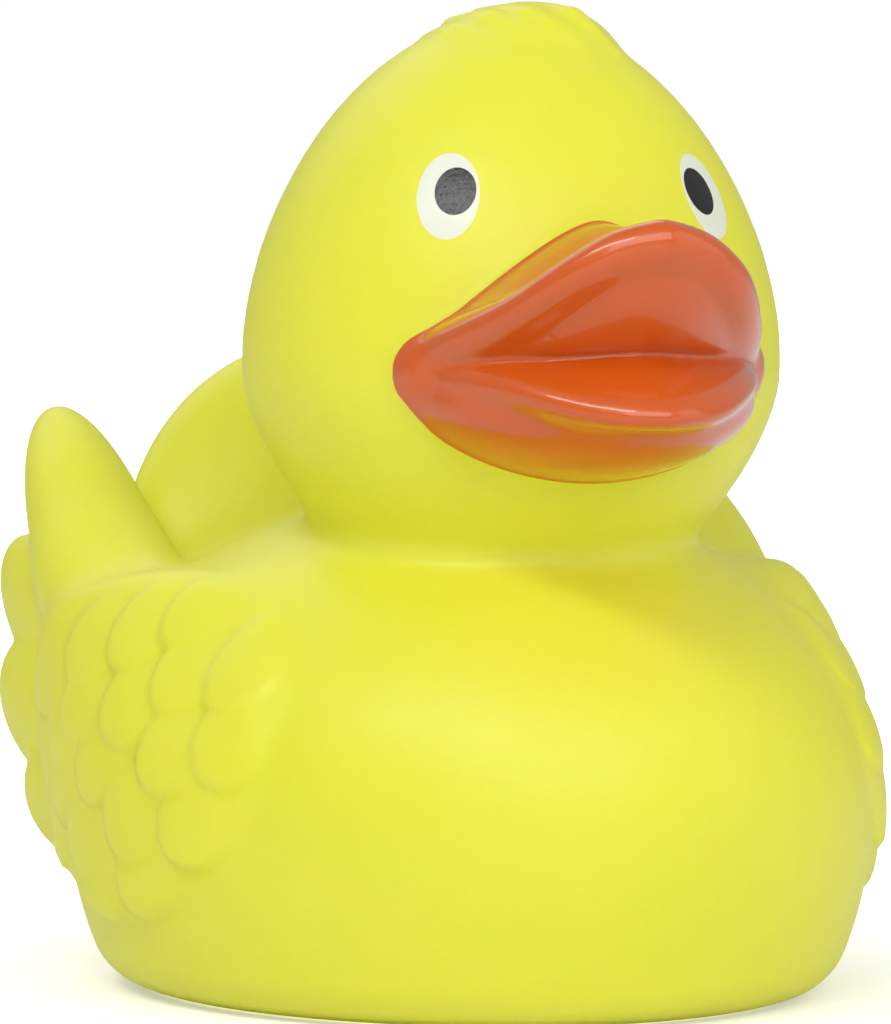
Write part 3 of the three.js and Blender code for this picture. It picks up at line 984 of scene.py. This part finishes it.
def feather_tree():
    """Geometry nodes that raise overlapping feathers, one for each vertex of the object of centres, and lay
    painted shade along their free edges.
    """
    tree = feather_group()
    given = outlets(tree, "NodeGroupInput")
    centres = outlets(tree, "GeometryNodeObjectInfo", {"Object": given["Centres"]})["Geometry"]
    count = outlets(tree, "GeometryNodeAttributeDomainSize", {"Geometry": centres})["Point Count"]

    begin = tree.nodes.new("GeometryNodeRepeatInput")
    end = tree.nodes.new("GeometryNodeRepeatOutput")
    begin.pair_with_output(end)
    feed(tree, begin.inputs["Iterations"], count)
    feed(tree, begin.inputs["Geometry"], store(tree, store(tree, given["Geometry"], "relief"), "crease"))
    geometry, turn = begin.outputs["Geometry"], begin.outputs["Iteration"]

    position = outlets(tree, "GeometryNodeInputPosition")[0]
    values = {"Geometry": centres, "Value": position, "Index": turn}
    centre = outlets(tree, "GeometryNodeSampleIndex", values, data_type="FLOAT_VECTOR")[0]
    slope, plate, height, line = feather_shape(tree, given, centre)
    before = stored(tree, "relief")
    # Painted shade: a dark line along each feather's free edge where it lies over the feathers before it.
    line = product(tree, line, maths(tree, "GREATER_THAN", slope, before))
    covered = product(tree, maths(tree, "GREATER_THAN", height, before), plate)
    seen = product(tree, stored(tree, "crease"), maths(tree, "SUBTRACT", 1.0, covered))
    geometry = store(tree, geometry, "crease", maths(tree, "MAXIMUM", seen, line))
    geometry = store(tree, geometry, "relief", maths(tree, "MAXIMUM", before, height))
    feed(tree, end.inputs["Geometry"], geometry)

    share = stored(tree, "wing_share")
    normal = outlets(tree, "GeometryNodeInputNormal")[0]
    lift = product(tree, stored(tree, "relief"), share, given["Relief"])
    push = outlets(tree, "ShaderNodeVectorMath", {0: normal, "Scale": lift}, operation="SCALE")[0]
    values = {"Geometry": end.outputs["Geometry"], "Offset": push}
    geometry = outlets(tree, "GeometryNodeSetPosition", values)[0]
    # The painted shade fades out with the feathers towards the edge of the field.
    geometry = store(tree, geometry, "crease", product(tree, stored(tree, "crease"), share))
    geometry = outlets(tree, "GeometryNodeRealizeInstances", {"Geometry": geometry})[0]
    values = {"Geometry": geometry, "Material": given["Material"]}
    geometry = outlets(tree, "GeometryNodeSetMaterial", values)[0]
    outlets(tree, "NodeGroupOutput", {"Geometry": geometry})
    return tree


# ---------------------------------------------------------------- operators


class DUCK_OT_skin(bpy.types.Operator):
    """Mould the hollow skin: body, head, tail, wings, bill and tuft in one piece"""

    bl_idname = "duck.skin"
    bl_label = "Moulded skin"

    def execute(self, context):
        settings = context.scene.duck_skin
        points, triangles = skin_mesh(settings.step / MM)
        skin = new_mesh("duck_skin", points, triangles.tolist())
        wall = settings.wall / MM
        low, high = np.array(CAD_BOX) / MM

        def air(x, y, z):
            return air_inside(x, y, z, wall)

        room, quads = surface_net(air, low, high, AIR_STEP)
        room, _ = settle(air, room)
        cut_away(skin, new_mesh("air", room, quads.tolist()))
        hole, recess, step = SEAT["hole"], SEAT["recess"], SEAT["recess_depth"]
        below, above = -1.0, SEAT["boss_height"] + 1.0
        profile = ((0, below), (recess, below), (recess, step), (hole, step), (hole, above), (0, above))
        cut_away(skin, lathe("seat", profile, SEAT["y"]))
        mesh = skin.data
        if len(mesh.polygons) < len(triangles):
            raise RuntimeError("a cut has spoilt the skin")
        places = np.empty(len(mesh.vertices) * 3)
        mesh.vertices.foreach_get("co", places)
        places = places.reshape(-1, 3) / MM
        x, y, z = places.T
        write_attribute(mesh, "bill_paint", plain_skin(x, y, z) - bill(np.abs(x), y, z))
        write_attribute(mesh, "wing_share", feather_share(places))
        write_attribute(mesh, "wing_place", wing_place(places) * MM)
        return {"FINISHED"}


class DUCK_OT_feathers(bpy.types.Operator):
    """Raise the short feathers on both wings and paint the skin"""

    bl_idname = "duck.feathers"
    bl_label = "Short feathers and paint"

    def execute(self, context):
        scene = context.scene
        settings = scene.duck_feathers
        skin = bpy.data.objects["duck_skin"]
        centres = [(-math.radians(turn) * WING_GIRTH, height, 0.0) for turn, height in SHORT_FEATHERS]
        centres = new_mesh("feather_centres", centres, [])
        tree = feather_tree()
        modifier = skin.modifiers.new("short_feathers", "NODES")
        modifier.node_group = tree
        values = {
            "Centres": centres,
            "Length": settings.length,
            "Width": settings.width,
            "Relief": settings.relief,
            "Edge": settings.edge,
            "Slant": settings.slant,
            "Material": skin_material(scene.duck_skin, scene.duck_paint),
        }
        for item in tree.interface.items_tree:
            if item.in_out == "INPUT" and item.name in values:
                modifier[item.identifier] = values[item.name]
        apply_modifiers(skin)
        bpy.data.objects.remove(centres)
        skin.data.shade_smooth()
        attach(skin, "root")
        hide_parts("duck_body")
        return {"FINISHED"}


class DUCK_OT_squeaker(bpy.types.Operator):
    """Give the squeaker's housing, reed block and reed their plastics"""

    bl_idname = "duck.squeaker"
    bl_label = "Squeaker"

    def execute(self, context):
        settings = context.scene.duck_squeaker
        plastic = plastic_material("squeaker_plastic", settings.plastic, ROUGHNESS["housing"])
        film = plastic_material("reed_film", settings.reed, ROUGHNESS["reed"])
        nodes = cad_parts
        coats = {"squeaker_housing": plastic, "squeaker_reed_block": plastic, "squeaker_reed": film}
        for name, material in coats.items():
            nodes[name].data.materials.clear()
            nodes[name].data.materials.append(material)
        return {"FINISHED"}


def area_light(name, turn, rise, reach, size, power):
    """A soft lamp that looks at the duck from `turn` and `rise`, in degrees, and `reach`, in metres."""
    light = bpy.data.lights.new(name, "AREA")
    light.shape = "RECTANGLE"
    light.size, light.size_y = size
    light.energy = power
    lamp = link(name, light)
    turn, rise = math.radians(turn), math.radians(rise)
    way = Vector((-math.sin(turn) * math.cos(rise), -math.cos(turn) * math.cos(rise), math.sin(rise)))
    lamp.location = Vector(LAMP_AIM) + reach * way
    lamp.rotation_euler = (-way).to_track_quat("-Z", "Y").to_euler()


class DUCK_OT_stage(bpy.types.Operator):
    """Set up the pale floor, the soft light and the camera"""

    bl_idname = "duck.stage"
    bl_label = "Stage"

    def execute(self, context):
        scene = context.scene
        settings = scene.duck_stage
        corners = [(x, y, FLOOR_LEVEL) for y in FLOOR_LINES for x in FLOOR_LINES]
        quads = [(i, i + 1, i + 5, i + 4) for i in (0, 1, 2, 4, 5, 6, 8, 9, 10)]
        floor = new_mesh("floor", corners, quads)
        floor.data.materials.append(floor_material(settings.floor))

        world = bpy.data.worlds.new("studio")
        scene.world = world
        world.use_nodes = True
        background = world.node_tree.nodes["Background"]
        background.inputs["Color"].default_value = (1, 1, 1, 1)
        seen = outlets(world.node_tree, "ShaderNodeLightPath")["Is Camera Ray"]
        strength = maths(world.node_tree, "MAXIMUM", seen, settings.sky)
        feed(world.node_tree, background.inputs["Strength"], strength)

        for name, turn, rise, reach, size, share in LAMPS:
            area_light(name, turn, rise, reach, size, share * settings.key)

        camera = bpy.data.cameras.new("camera")
        camera.lens = settings.lens
        camera.clip_start = 0.01
        tripod = link("camera", camera)
        up = Vector((0.0, 0.0, 1.0))
        ahead = Vector((math.sin(settings.side), math.cos(settings.side), 0.0))
        left = Vector((-ahead.y, ahead.x, 0.0))
        tripod.location = -settings.distance * ahead + settings.shift * left + settings.height * up
        look = ahead * math.cos(settings.tilt) - up * math.sin(settings.tilt)
        tripod.rotation_euler = look.to_track_quat("-Z", "Y").to_euler()
        scene.camera = tripod
        scene.view_settings.view_transform = "Standard"
        return {"FINISHED"}


class DUCK_PT_panel(bpy.types.Panel):
    """Lists the duck's steps and their settings"""

    bl_idname = "DUCK_PT_panel"
    bl_label = "Bath duck"
    bl_space_type = "VIEW_3D"
    bl_region_type = "UI"
    bl_category = "Bath duck"

    def draw(self, context):
        for name, group in SETTINGS.items():
            box = self.layout.box()
            box.label(text=group.__doc__)
            settings = getattr(context.scene, name)
            for key in settings.__annotations__:
                box.prop(settings, key)
            for operator in OPERATORS:
                if operator.bl_idname == name.replace("_", "."):
                    box.operator(operator.bl_idname)


SETTINGS = {
    "duck_skin": DuckSkinSettings,
    "duck_feathers": DuckFeatherSettings,
    "duck_paint": DuckPaintSettings,
    "duck_squeaker": DuckSqueakerSettings,
    "duck_stage": DuckStageSettings,
}
OPERATORS = (DUCK_OT_skin, DUCK_OT_feathers, DUCK_OT_squeaker, DUCK_OT_stage)
CLASSES = (*SETTINGS.values(), *OPERATORS, DUCK_PT_panel)


def register():
    for one in CLASSES:
        bpy.utils.register_class(one)
    for name, group in SETTINGS.items():
        setattr(bpy.types.Scene, name, bpy.props.PointerProperty(type=group))


def unregister():
    for name in SETTINGS:
        delattr(bpy.types.Scene, name)
    for one in reversed(CLASSES):
        bpy.utils.unregister_class(one)


def main():
    register()
    bpy.ops.duck.skin()
    bpy.ops.duck.feathers()
    bpy.ops.duck.squeaker()
    bpy.ops.duck.stage()
    bpy.context.view_layer.update()


if __name__ == "__main__":
    main()
